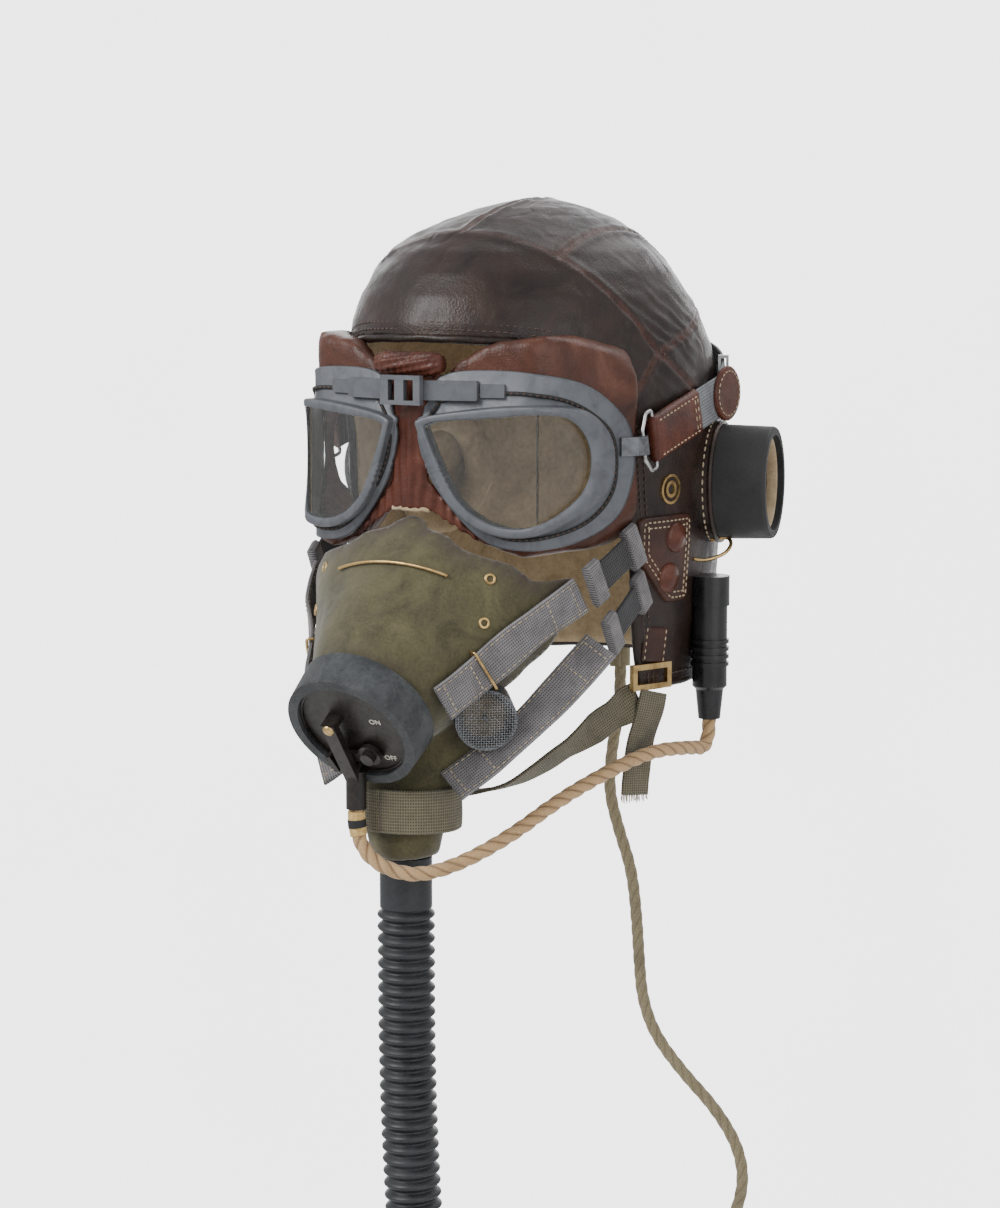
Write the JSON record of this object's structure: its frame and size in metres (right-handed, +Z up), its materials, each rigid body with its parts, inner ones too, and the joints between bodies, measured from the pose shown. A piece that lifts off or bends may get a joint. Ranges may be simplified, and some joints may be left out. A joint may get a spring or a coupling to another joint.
{
  "type": "pilot_flight_helmet",
  "caption": "Leather pilot flight helmet with ear cups, split-lens goggles, oxygen mask with microphone, ribbed breathing hose, chin strap and helmet lead.",
  "frame": {"origin": "Centre of the head cavity between the ears, where the helmet seats on a head.", "axes": "Z up, the face looks along -Y, and the wearer's left is +X."},
  "size_m": [0.2322, 0.2864, 0.759],
  "materials": {
    "brown_leather": "smooth waxed cape leather, glossy, creased",
    "red_leather": "red-brown gathered or folded leather",
    "chamois": "soft chamois lining",
    "black_rubber": "moulded rubber, slightly dusty",
    "slate_rubber": "chalky slate rubber",
    "phone_plastic": "moulded phenolic",
    "brass": "worn brass",
    "frame_metal": "blue-grey enamel worn at edges",
    "glass": "clear flat glass",
    "pad_leather": "padded leather over sponge",
    "steel": "nickel plate, dulled",
    "blue_elastic": "pale blue-grey woven elastic",
    "mask_fabric": "olive rubberised wool fabric",
    "grey_web": "grey-lilac cotton webbing",
    "black_elastic": "black woven elastic",
    "olive_web": "olive cotton webbing",
    "bakelite": "polished bakelite",
    "grey_metal": "dulled alloy",
    "mica": "thin mica or rubber valve disc",
    "hose_rubber": "corrugated rubber",
    "tan_cord": "twisted tan cotton cord",
    "khaki_cord": "khaki braided cord"
  },
  "bodies": {
    "helmet": {"breathing_hose": "hose_rubber", "brow_panel": "brown_leather", "chamois_lining": "chamois", "chin_keepers": "brown_leather", "chin_strap": "olive_web", "chin_webbing": "olive_web", "crown_left": "brown_leather", "crown_right": "brown_leather", "ear_cups": "black_rubber", "ear_flap_left": "brown_leather", "ear_flap_right": "brown_leather", "ear_pads": "chamois", "ear_rings": "black_rubber", "exhaust_housing": "grey_metal", "exhaust_mesh": "grey_metal", "harness_webbing": "grey_web", "helmet_lead": "khaki_cord", "hose_connector": "steel", "inlet_seat": "grey_metal", "jack_plug": "black_rubber", "jack_socket": "black_rubber", "lead_gland": "khaki_cord", "lead_plug": "steel", "link_elastics": "black_elastic", "link_loops": "grey_web", "mask_shell": "mask_fabric", "mic_capsule": "phone_plastic", "mic_cord": "tan_cord", "mic_housing": "bakelite", "mic_ring": "slate_rubber", "nape_panel": "brown_leather", "nose_wire": "brass", "press_studs": "brass", "rear_strap": "blue_elastic", "receivers": "phone_plastic", "side_crowns": "brown_leather", "snap_caps": "brown_leather", "snap_tabs": "brown_leather", "strap_patches": "red_leather", "strap_sliders": "steel", "strap_tail": "olive_web", "terminal_cover": "bakelite"},
    "goggles": {"goggle_frame_left": "frame_metal", "goggle_frame_right": "frame_metal", "front_glass": "glass", "side_glass": "glass", "goggle_pad_left": "pad_leather", "goggle_pad_right": "pad_leather", "nose_leather": "red_leather", "bridge_tube": "red_leather", "bridge_arms": "frame_metal", "bridge_link": "frame_metal", "strap_hooks": "frame_metal", "wire_rings": "steel", "strap_loops": "red_leather", "strap_elastics": "blue_elastic"},
    "switch_lever": {"switch_lever": "phone_plastic"},
    "exhaust_disc": {"exhaust_disc": "mica"},
    "inlet_disc": {"inlet_disc": "mica"},
    "chin_buckle": {"chin_buckle": "brass"}
  },
  "joints": [
    {"name": "goggles_lift", "type": "hinge", "parent": "helmet", "child": "goggles", "pos_m": [0, 0.028, 0.0418], "axis": [-1, 0, 0], "range_deg": [0, 35]},
    {"name": "switch_turn", "type": "hinge", "parent": "helmet", "child": "switch_lever", "pos_m": [0.005, -0.15436, -0.10952], "axis": [0, -0.809, -0.5878], "range_deg": [-28, 0]},
    {"name": "exhaust_lift", "type": "slide", "parent": "helmet", "child": "exhaust_disc", "axis": [0.6097, -0.7803, -0.1392], "range_m": [0, 0.0012]},
    {"name": "inlet_lift", "type": "slide", "parent": "helmet", "child": "inlet_disc", "axis": [0, 0, 1], "range_m": [0, 0.0015]},
    {"name": "buckle_swing", "type": "hinge", "parent": "helmet", "child": "chin_buckle", "pos_m": [0.0772, -0.0282, -0.0819], "axis": [0.3312, 0.9435, 0], "range_deg": [-20, 0]}
  ]
}
